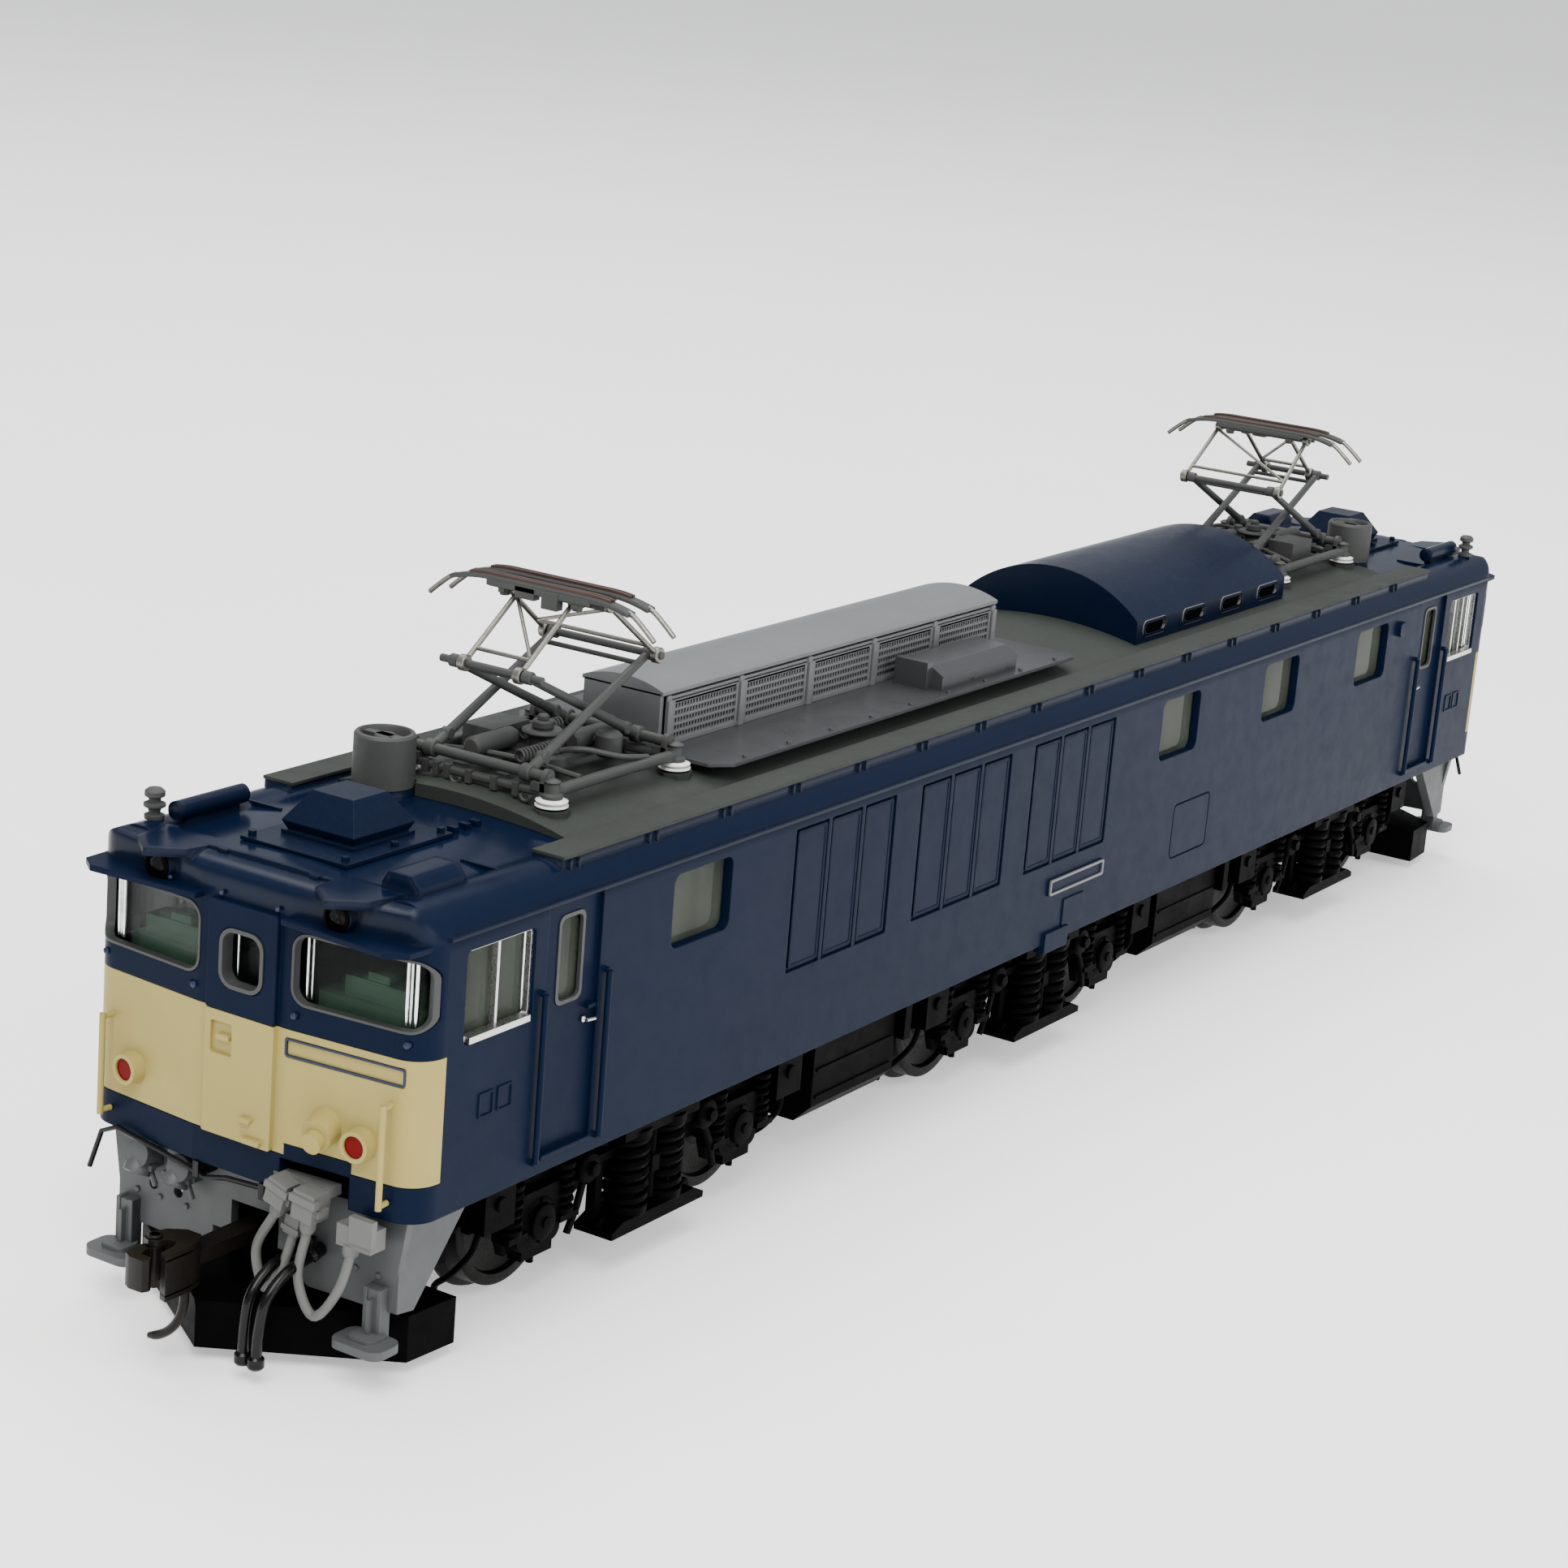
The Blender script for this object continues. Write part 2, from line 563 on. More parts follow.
def dress_nodes():
    """Every carried-over CAD node gets its finished material."""
    for name, obj in frame["nodes"].items():
        mesh = obj.data
        mesh.materials.clear()
        mesh.materials.append(MAT[look_of(name)])


# ---------- camera, light and floor ----------

def view_axes(azimuth, elevation, roll):
    """Right, up and backward directions of a camera given by three angles in degrees."""
    a, e, r = (math.radians(v) for v in (azimuth, elevation, roll))
    back = Vector((math.sin(a) * math.cos(e), -math.cos(a) * math.cos(e), math.sin(e)))
    right = Vector((math.cos(a), math.sin(a), 0))
    down = -back.cross(right)
    tilted = math.cos(r) * right + math.sin(r) * down
    return tilted, -(math.cos(r) * down - math.sin(r) * right), back


def make_camera():
    """The camera of the photo: lens, angles and place found by matching the object's corners."""
    data = bpy.data.cameras.new("camera")
    data.sensor_width = 36.0
    data.lens = 79.3
    data.clip_start, data.clip_end = 0.01, 20.0
    cam = bpy.data.objects.new("camera", data)
    right, up, back = view_axes(31.84, 15.34, -4.71)
    turn = Matrix((right, up, back)).transposed().to_4x4()
    cam.matrix_world = Matrix.Translation(Vector((176.4, -316.0, 125.2)) * MM) @ turn
    bpy.context.scene.collection.objects.link(cam)
    bpy.context.scene.camera = cam


def area_light(name, place, target, size, power, colour=(1, 1, 1)):
    """A soft rectangular lamp at place, aimed at target; size in metres, power in watts."""
    data = bpy.data.lights.new(name, "AREA")
    data.shape, data.size, data.size_y = "RECTANGLE", size[0], size[1]
    data.energy, data.color = power, colour
    lamp = bpy.data.objects.new(name, data)
    lamp.location = place
    lamp.rotation_mode = "QUATERNION"
    lamp.rotation_quaternion = (Vector(target) - Vector(place)).to_track_quat("-Z", "Y")
    bpy.context.scene.collection.objects.link(lamp)


# half width of the floor sheet in metres
FLOOR_HALF = 12.0


def make_stage():
    """A white paper floor that glows a little, a pale room and three soft lights."""
    bm = bmesh.new()
    bmesh.ops.create_grid(bm, x_segments=1, y_segments=1, size=FLOOR_HALF)
    mesh = bpy.data.meshes.new("floor")
    bm.to_mesh(mesh)
    bm.free()
    floor = bpy.data.objects.new("floor", mesh)
    floor.location.z = CAD_BOX[0][2] - 0.0002
    bpy.context.scene.collection.objects.link(floor)
    n = Nodes("floor_paper")
    n.set(Base_Color=n.mix(n.ramp(n.noise(40.0), 0.3, 0.7), (0.90, 0.90, 0.895), (0.93, 0.93, 0.925)),
          Roughness=0.7, Normal=n.bump(n.noise(0.8), 0.01), Emission_Color=(1, 1, 1, 1),
          Emission_Strength=0.5)
    mesh.materials.append(n.mat)
    world = bpy.data.worlds.new("studio")
    world.use_nodes = True
    world.node_tree.nodes["Background"].inputs["Color"].default_value = (0.93, 0.95, 1.0, 1)
    world.node_tree.nodes["Background"].inputs["Strength"].default_value = 0.6
    bpy.context.scene.world = world
    area_light("key", (0.25, -0.55, 0.85), (0, 0, 0.03), (0.7, 0.7), 15, (1.0, 0.985, 0.96))
    area_light("fill", (1.0, 0.1, 0.5), (0, 0, 0.03), (0.9, 0.6), 8, (0.97, 0.98, 1.0))
    area_light("top", (-0.3, 0.3, 1.1), (0, 0.02, 0.04), (0.9, 0.9), 14)


# ---------- the front face as a surface ----------

# a flat middle up to FLAT_X, swept back from there by SWEEP, and a round corner
FRONT_Y = 112.4
FLAT_X = 5.0
SWEEP = 0.09
CORNER_R = 2.8
CORNER_X = HALF_W - CORNER_R
CORNER_Y = 108.68


def shell_point(x, z, out=0.0):
    """A point on the outside of the front end at x, wrapping round the corner."""
    side = 1 if x >= 0 else -1
    a = abs(x)
    if a <= CORNER_X:
        y = -FRONT_Y + SWEEP * max(0.0, a - FLAT_X) - out
        return Vector((x, y, z))
    lean = min(1.0, (a - CORNER_X) / CORNER_R)
    turn = math.asin(lean)
    return Vector((side * (CORNER_X + (CORNER_R + out) * math.sin(turn)),
                   -CORNER_Y - (CORNER_R + out) * math.cos(turn), z))


def shell_frame(shape, outer, inner, out, deep):
    """A frame between two outlines laid on the front, from deep inside the shell to out in front of it."""
    n = len(outer)
    verts = []
    for ring, lift in ((outer, -deep), (outer, out), (inner, out), (inner, -deep)):
        verts += [shell_point(u, v, lift) for u, v in ring]
    faces = []
    for k in range(4):
        for i in range(n):
            j = (i + 1) % n
            m = (k + 1) % 4
            faces.append([k * n + i, k * n + j, m * n + j, m * n + i])
    shape.take(verts, faces)


def wrapped_ring(shape, cx, cz, w, h, r, width, out, deep):
    """A raised frame round a window in the front, following the shell's curve."""
    outer = rounded(cx, cz, w + 2 * width, h + 2 * width, r + width, 6)
    inner = rounded(cx, cz, w, h, r, 6)
    shell_frame(shape, finer(outer), finer(inner), out, deep)


def finer(ring, longest=0.7):
    """The ring with its long edges cut into shorter ones."""
    out = []
    for i, a in enumerate(ring):
        b = ring[(i + 1) % len(ring)]
        n = max(1, math.ceil(math.dist(a, b) / longest))
        out += [(a[0] + (b[0] - a[0]) * k / n, a[1] + (b[1] - a[1]) * k / n) for k in range(n)]
    return out


@both_ends
def cab_window_frames(end, turn):
    """Rubber gaskets of the windscreens and doors, with the bright edges of the moulded glass."""
    s = begin(turn)
    for side in (-1, 1):
        wrapped_ring(s, side * 11.35, 34.3, 12.4, 5.75, 1.3, 0.24, 0.05, 0.75)
    wrapped_ring(s, 0, 33.7, 4.0, 4.5, 1.1, 0.36, 0.6, 0.7)
    for side in (-1, 1):
        x0, x1 = sorted((side * (HALF_W - 0.72), side * (HALF_W - 0.36)))
        s.frame(rounded(-91.6, 33.4, 3.7, 8.0, 0.8), rounded(-91.6, 33.4, 3.0, 7.3, 0.6), x0, x1)
    s.piece(f"window_gaskets_{end}", "body", "gasket", slot="bright_trim")
    g = begin(turn)
    for side in (-1, 1):
        for x, r in ((16.6, 0.2), (15.9, 0.12), (15.3, 0.16), (5.6, 0.16), (6.1, 0.1)):
            p = shell_point(side * x, 0, -1.15)
            g.rod((p.x, p.y, 31.5), (p.x, p.y, 37.1), r, 12)
        for y, r in ((-106.1, 0.22), (-105.4, 0.1), (-97.3, 0.2), (-101.3, 0.12)):
            g.rod((side * (HALF_W - 1.05), y, 29.8), (side * (HALF_W - 1.05), y, 37.0), r, 12)
    for x in (-1.75, 1.75):
        g.rod((x, -111.25, 31.6), (x, -111.25, 35.8), 0.15, 12)
    g.piece(f"glass_edges_{end}", "body", "edge", slot="clear_plastic")


@both_ends
def cab_details(end, turn):
    """Small mouldings of the cab: studs and short ribs on the front, and the door handles."""
    s = begin(turn)
    for side in (-1, 1):
        for x in (5.4, 16.2):
            p = shell_point(side * x, 30.3)
            s.lathe(p + Vector((0, 0.2, 0)), (0, -1, 0), [(0, 0.3), (0.42, 0.3), (0.55, 0.16), (0.58, 0)], 14)
        s.box((side * 7.0, -112.85, 38.3), (side * 5.0, -112.2, 38.42), 0.04)
    for x in (-8.2, -2.6, 3.4):
        s.disc((x, -112.5, 38.9), (0, -1, 0), 0.22, 0.3, 12)
    s.piece(f"cab_studs_{end}", "body", "dark_navy", slot="navy_plastic")
    h = begin(turn)
    for side in (-1, 1):
        x = side * (HALF_W - 0.15)
        h.tube([(x - side * 0.3, -89.3, 27.4), (x + side * 0.28, -89.3, 27.4), (x + side * 0.3, -88.2, 27.3)],
               0.16, 8)
        h.disc((x - side * 0.3, -89.3, 27.4), (side, 0, 0), 0.3, 0.35, 14)
    h.piece(f"door_handles_{end}", "body", "trim", slot="bright_trim")


@both_ends
def headlights(end, turn):
    """Headlamps under the peaks: bezel, reflector and lens."""
    s = begin(turn)
    for side in (-1, 1):
        at = Vector((side * 9.6, -112.75, 39.7))
        s.index = 0
        s.lathe(at, Y, [(0, 1.3), (-0.14, 1.25), (-0.16, 1.04), (0.1, 0.97), (0.6, 0.95)], 32)
        s.index = 1
        s.lathe(at + Vector((0, 0.25, 0)), Y, [(0, 0.95), (0.35, 0.75), (0.6, 0.4), (0.7, 0)], 32)
        s.index = 2
        s.lathe(at + Vector((0, 0.02, 0)), Y, [(-0.1, 0), (-0.08, 0.5), (0, 0.88), (0.1, 0.94)], 32)
    s.piece(f"headlights_{end}", "body", ("black", "lamp_dark", "lamp"), slot="bright_trim")


# ---------- roof ----------

def louvre(shape, side, half, first, last, z0, eave):
    """One open panel of the resistor housing: edge strips, cross slats and a row of thin bars."""
    face = side * (half - 0.6)
    for edge in (first, last):
        shape.box((face, edge - 0.16, z0 + 0.3), (side * (half + 0.08), edge + 0.16, eave - 1.1), 0.05)
    rows = 5
    pitch = (eave - 1.3 - z0 - 0.4) / rows
    for k in range(rows + 1):
        z = z0 + 0.45 + k * pitch
        shape.box((face, first, z - 0.13), (side * (half - 0.02), last, z + 0.13), 0.05, 1)
    bars = round((last - first) / 0.48)
    for k in range(1, bars):
        y = first + (last - first) * k / bars
        shape.box((side * (half - 0.5), y - 0.1, z0 + 0.3), (side * (half - 0.16), y + 0.1, eave - 1.2), 0.0)


def resistor_housing():
    """The tall silver housing: barrel roof, ribs and rows of slots over a dark inside."""
    lo, hi = node_box("resistor_cover")
    half, y0, y1, z0, top = hi.x - 0.25, lo.y, hi.y, lo.z, hi.z
    rise = 0.9
    eave = top - rise
    radius = (half ** 2 + rise ** 2) / (2 * rise)
    s = begin()
    across = [half * math.sin(1 - i / 10) / math.sin(1) for i in range(21)]
    roof = [(x, top - radius + math.sqrt(radius ** 2 - x ** 2)) for x in across]
    roof += [(-half, eave - 0.35), (half, eave - 0.35)]
    s.prism([(z, x) for x, z in roof], y0, y1, "y", 0.08, 1)
    for side in (-1, 1):
        inner = side * (half - 0.7)
        for z, out in ((eave - 0.75, -0.12), (eave - 1.15, -0.02)):
            s.box((inner, y0 + 0.9, z - 0.14), (side * (half + out), y1, z + 0.14), 0.06)
        s.box((inner, y0 + 0.9, z0), (side * (half + 0.02), y1, z0 + 0.4), 0.08)
    for y in (y0, y1 - 0.7):
        s.box((-half + 0.25, y, z0), (half - 0.25, y + 0.7, eave - 0.2), 0.15)
    ribs = 6
    step = (y1 - y0 - 1.9) / (ribs - 1)
    for side in (-1, 1):
        a, b = sorted((side * (half - 0.5), side * (half + 0.05)))
        for i in range(ribs):
            y = y0 + 1.1 + i * step
            s.box((side * (half - 0.6), y - 0.4, z0), (side * (half + 0.25), y + 0.4, eave - 0.9), 0.12)
            s.prism([(y - 0.4, eave - 0.95), (y + 0.4, eave - 0.95), (y + 0.3, eave - 0.45),
                     (y - 0.3, eave - 0.45)], a, b, "x", 0.06, 1)
            if i < ribs - 1:
                louvre(s, side, half, y + 0.75, y + step - 0.75, z0, eave)
    s.index = 1
    s.box((-half + 0.42, y0 + 0.6, z0 + 0.1), (half - 0.42, y1 - 0.5, eave - 0.5), 0.1)
    for y in (y0 + 0.52, y1 - 0.88):
        s.box((-half + 0.1, y, z0 + 0.1), (half - 0.1, y + 0.3, eave - 0.3), 0.02)
    s.piece("resistor_housing", "body", ("silver", "soot"), replaces=("resistor_cover",),
            slot="silver_plastic")


def cover_windows():
    """Framed dark windows in both sides of the arched cover."""
    wall = node_box("arched_cover")[1].x
    s = begin()
    for side in (-1, 1):
        x = side * wall
        for i in range(4):
            y = 25.7 + i * 9.75
            a, b = sorted((x - side * 0.35, x))
            s.index = 0
            s.frame(rounded(y, 43.4, 5.7, 1.9, 0.75), rounded(y, 43.4, 4.8, 1.1, 0.5), a, b)
            s.index = 1
            a, b = sorted((x - side * 0.6, x - side * 0.28))
            s.prism(rounded(y, 43.4, 4.9, 1.2, 0.5), a, b, "x")
    s.piece("arched_cover_windows", "body", ("silver", "soot"), slot="silver_plastic")


@both_ends
def roof_lines(end, turn):
    """Fine ribs, seams and lifting eyes on the cab roofs, and brackets under the walkway boards."""
    s = begin(turn)
    for x in (-4.9, 4.9):
        for y in (-92.2, -90.6, -89.2):
            s.box((x - 0.45, y - 0.3, 41.5), (x + 0.45, y + 0.3, 42.15), 0.12)
    for side in (-1, 1):
        s.box((side * 14.4, -97.4, 40.35), (side * 9.8, -97.1, 41.45), 0.08)
        s.disc((side * 13.2, -109.6, 40.4), Z, 0.4, 0.5, 16)
        s.box((side * 5.4, -110.2, 41.2), (side * 4.4, -109.6, 41.6), 0.1)
    s.piece(f"cab_roof_fixings_{end}", "body", "navy_part", slot="navy_plastic")


@both_ends
def arrester(end, turn):
    """The open-topped round arrester and the small insulator post on each cab roof."""
    s = begin(turn)
    at = Vector((-7, -87.1, 42.4))
    s.lathe(at, Z, [(0, 2.8), (0.2, 2.8), (4.5, 2.76), (4.72, 2.6), (4.76, 2.3), (4.55, 2.15),
                    (2.6, 2.1), (2.6, 0)], 48)
    s.box(at + Vector((-2.4, -0.45, 2.5)), at + Vector((2.4, 0.45, 4.5)), 0.1)
    s.disc(at + Vector((0, 0, 2.6)), Z, 1.0, 1.9, 24, 0.15)
    post = Vector((-14.8, -107.6, 41.5))
    s.lathe(post, Z, [(0, 0.85), (0.35, 0.88), (0.5, 0.5), (0.85, 0.55), (1.1, 0.95), (1.35, 0.95),
                      (1.55, 0.5), (1.8, 0.55), (2.0, 0.88), (2.4, 0.88), (2.65, 0.6), (2.75, 0)], 24)
    s.piece(f"arrester_{end}", "body", "resin", slot="resin_grey",
            replaces=("roof_fittings",) if end == "front" else ())


# ---------- pantographs ----------

def lug(shape, x, y, z, r, t):
    """A rounded bearing lug standing at x with its eye at y, z."""
    crown = [(y + r * math.cos(a), z + r * math.sin(a)) for a in [math.pi - math.pi * k / 10 for k in range(11)]]
    shape.prism([(y - r, z - 1.6)] + crown + [(y + r, z - 1.6)], x - t / 2, x + t / 2, "x", 0.08, 1)


@both_ends
def panto_base(end, turn):
    """The base frame with its bearings, springs, valve, wires and air pipes, on four insulators."""
    s = begin(turn @ Matrix.Translation((0, PANTO_Y, 0)))
    for side in (-1, 1):
        x = side * BASE_X
        s.sweep([(x, -9.6, 44.1), (x, 0, 44.15), (x, 9.6, 44.1)], rounded(0, 0, 1.05, 0.9, 0.3, 3))
        for y in (-BASE_Y, BASE_Y):
            s.lathe((x, y, 43.35), Z, [(0, 0.95), (0.5, 0.95), (0.7, 0.7), (1.5, 0.62), (1.7, 0.75),
                                       (1.9, 0.4), (2.0, 0)], 20)
        for y in (-PANTO_HALF, PANTO_HALF):
            lug(s, side * 7.45, y, PIVOT_Z, 0.75, 0.5)
            s.box((side * 6.2, y - 0.75, 44.0), (side * 7.9, y + 0.75, 44.75), 0.15)
            s.rod((side * 7.9, y, PIVOT_Z), (side * 7.0, y, PIVOT_Z), 0.42, 16)
    for out in (-1, 1):
        y = out * 9.2
        lift = -0.1 if out < 0 else 0
        bar = [(x, y, z + lift) for x, z in ((-BASE_X, 44.0), (-4, 43.85), (0, 43.8), (4, 43.85), (BASE_X, 44.0))]
        s.sweep(bar, rounded(0, 0, 0.95, 0.75, 0.25, 3))
        for x in (-5.4, -4.2, -3.0, -0.6, 2.2, 4.6):
            s.box((x - 0.3, y + out * 0.2, 43.1), (x + 0.3, y + out * 0.75, 44.3), 0.12)
        for x in (-1.9, 5.8):
            s.tube(arc((x, y + out * 0.75, 43.45), 0.55, 0, -180, 8, ("x", "z")), 0.18, 8)
    for x in (-2.3, 2.3):
        s.box((x - 0.65, -9, 43.95), (x + 0.65, 9, 44.4), 0.15)
        s.lathe((x, -7.4 if x < 0 else 1.2, 45.55), Y,
                [(0, 0), (0, 0.7), (0.2, 0.95), (5.7, 0.95), (5.9, 0.7), (6.2, 0.7), (6.2, 0)], 24)
        start = 0.2 if x < 0 else -6.4
        s.tube([(x + 0.55 * math.cos(t), start + t * 0.075, 45.5 + 0.55 * math.sin(t))
                for t in [k * 0.5 for k in range(150)]], 0.14, 6)
    s.box((-6.6, -3.1, 44.0), (-3.3, 2.4, 46.2), 0.5, 3)
    s.disc((-3.4, -1.2, PIVOT_Z), X, 1.0, 0.9, 24, 0.2)
    for place, r, h, n, edge in (((0, 0, 44.2), 1.2, 1.8, 28, 0.2), ((0, 0, 46.0), 1.9, 0.5, 36, 0.22),
                                 ((0, 0, 46.5), 1.0, 0.8, 28, 0.15), ((0, 0, 47.2), 0.55, 0.6, 20, 0.15),
                                 ((3.6, -3.2, 44.2), 1.3, 1.3, 28, 0.25), ((3.6, -3.2, 45.5), 0.6, 0.7, 20, 0.12),
                                 ((4.6, 3.8, 44.2), 1.25, 2.3, 28, 0.3)):
        s.disc(place, Z, r, h, n, edge)
    s.tube(smooth_line([(-6.9, -6.2, 44.5), (-2, -6.0, 45.0), (2.4, -5.2, 44.9), (7.9, -4.8, 44.5)]), 0.28, 8)
    s.tube(smooth_line([(3.4, -3.2, 45.6), (5.6, -1.6, 46.0), (7.6, 1.5, 45.2), (8.0, 5.2, 44.6)]), 0.26, 8)
    s.tube(smooth_line([(-7.8, 5.6, 44.6), (-4, 4.6, 45.2), (0, 3.2, 45.4), (4.4, 3.8, 45.6)]), 0.28, 8)
    s.piece(f"pantograph_base_{end}", "body", "resin", replaces=(f"panto_base_{end}",),
            slot="resin_grey")
    w = begin(turn @ Matrix.Translation((0, PANTO_Y, 0)))
    for x in (-BASE_X, BASE_X):
        for y in (-BASE_Y, BASE_Y):
            w.lathe((x, y, 42.68), Z, [(0, 0.95), (0.1, 1.3), (0.22, 1.5), (0.34, 1.48), (0.42, 1.05),
                                       (0.5, 1.0), (0.58, 1.42), (0.7, 1.45), (0.8, 1.2), (0.9, 0.8)], 32)
    w.piece(f"insulators_{end}", "body", "porcelain", slot="resin_grey")


@both_ends
def panto_arms(end, turn):
    """Tapered lower arms and thin drawn upper arms with their bracing."""
    for which, flip in (("a", Matrix.Identity(4)), ("b", HALF_TURN)):
        at = turn @ Matrix.Translation((0, PANTO_Y, 0)) @ flip
        x = LOWER_X[which]
        s = begin(at)
        s.lathe((-7.0, -PANTO_HALF, PIVOT_Z), X, [(0, 0.42), (0.1, 0.5), (13.9, 0.5), (14.0, 0.42)], 20)
        for side in (-1, 1):
            p, q = Vector((side * x, -PANTO_HALF, PIVOT_Z)), Vector((side * x, ELBOW.y, ELBOW.z))
            s.tube([p + (q - p) * t for t in (0, 0.04, 0.5, 0.96, 1)], [0.55, 0.5, 0.43, 0.4, 0.36], 14)
            s.disc(p - Vector((0.55, 0, 0)), X, 0.8, 1.1, 22, 0.12)
            s.disc(q - Vector((0.5, 0, 0)), X, 0.6, 1.0, 20, 0.1)
            s.disc(p + (q - p) * 0.12 - Vector((0.5, 0, 0)), X, 0.6, 1.0, 18, 0.12)
        s.lathe((-x - 1.55, ELBOW.y, ELBOW.z), X, [(0, 0.36), (2 * x + 3.1, 0.36)], 16)
        s.rod((-x, ELBOW.y - 1.5, ELBOW.z - 0.7), (x, ELBOW.y - 1.5, ELBOW.z - 0.7), 0.24, 10)
        s.piece(f"lower_arm_{which}_{end}", f"panto_lower_{which}_{end}", "resin",
                replaces=(f"panto_lower_{which}_{end}",), slot="panto_resin")
        s = begin(at)
        foot, tip = UPPER_X[which]
        for side in (-1, 1):
            p, q = Vector((side * foot, ELBOW.y, ELBOW.z)), Vector((side * tip, HEAD.y, HEAD.z))
            s.disc(p - Vector((0.4, 0, 0)), X, 0.75, 0.8, 22, 0.1)
            s.disc(q - Vector((0.4, 0, 0)), X, 0.62, 0.8, 20, 0.1)
            s.rod(p + (q - p) * 0.04, p + (q - p) * 0.96, 0.25, 12)
        y = ELBOW.y + (q - p).y * BRACE_AT
        z = ELBOW.z + (q - p).z * BRACE_AT
        s.rod((-foot, y, z), (foot, y, z), 0.2, 10)
        s.rod((-foot, y, z), q - (q - p) * 0.06, 0.18, 10)
        s.piece(f"upper_arm_{which}_{end}", f"panto_upper_{which}_{end}", "arm",
                replaces=(f"panto_upper_{which}_{end}",), slot="arm_metal")


@both_ends
def panto_head(end, turn):
    """The collector: two curved pans with strips, spring boxes underneath and drooping horns."""
    s = begin(turn @ Matrix.Translation((0, PANTO_Y, 0)))
    z = HEAD.z
    for y in (-PAN_Y, PAN_Y):
        line = [(x, y, z + 0.93 - 0.035 * max(0, abs(x) - 5.4) ** 2)
                for x in [-9.8 + 19.6 * k / 28 for k in range(29)]]
        s.index = 0
        s.sweep(line, [(-0.6, -0.25), (0.6, -0.25), (0.62, 0.0), (0.5, 0.17), (-0.5, 0.17), (-0.62, 0.0)])
        s.sweep([(x, yy + (0.55 if y > 0 else -0.55), zz - 0.45) for x, yy, zz in line[6:23]],
                rounded(0, 0, 0.3, 0.6, 0.1, 2))
        s.index = 1
        for shift in (-0.24, 0.24):
            strip = [(x, yy + shift, zz + 0.27) for x, yy, zz in line[3:26]]
            s.sweep(strip, [(-0.19, -0.12), (0.19, -0.12), (0.17, 0.14), (-0.17, 0.14)])
        s.index = 2
        for side in (-1, 1):
            start = Vector((side * 9.5, y, z + 0.35))
            s.tube(smooth_line([start, (side * 10.3, y, z - 0.05), (side * 11.4, y, z - 0.9),
                                (side * 12.4, y, z - 1.75)]), 0.24, 10)
    s.index = 0
    for y in (-HEAD.y, HEAD.y):
        s.rod((-6.4, y, z), (6.4, y, z), 0.27, 14)
    for x in (-4, 4):
        s.box((x - 0.32, -2.1, z - 0.25), (x + 0.32, 2.1, z + 0.75), 0.12)
        for y in (-PAN_Y, PAN_Y):
            s.lathe((x, y, z - 0.5), Z, [(0, 0), (0, 0.45), (0.2, 0.5), (1.0, 0.5), (1.2, 0.4),
                                         (1.2, 0)], 18)
    s.box((-2.4, -2.2, z - 0.35), (-0.3, -1.3, z + 0.7), 0.2)
    s.box((0.6, -2.3, z - 0.8), (2.3, -1.35, z + 0.7), 0.2)
    s.piece(f"collector_head_{end}", f"panto_head_{end}", ("resin", "strip", "arm"),
            replaces=(f"panto_head_{end}",), slot="panto_resin")


# ---------- bogies ----------

def spring(shape, x, y, z0, z1, r, wire, turns):
    """A helical spring with flat end turns and its inner guide."""
    count = int(turns * 16)
    pts = [Vector((x + r * math.cos(k * math.pi / 8), y + r * math.sin(k * math.pi / 8),
                   z0 + (z1 - z0) * k / count)) for k in range(count + 1)]
    shape.tube(pts, wire, 6)
    shape.rod((x, y, z0), (x, y, z1), r * 0.55, 14)
    for z in (z0, z1):
        shape.disc((x, y, z - wire), Z, r + wire, wire * 2, 20, 0.08)


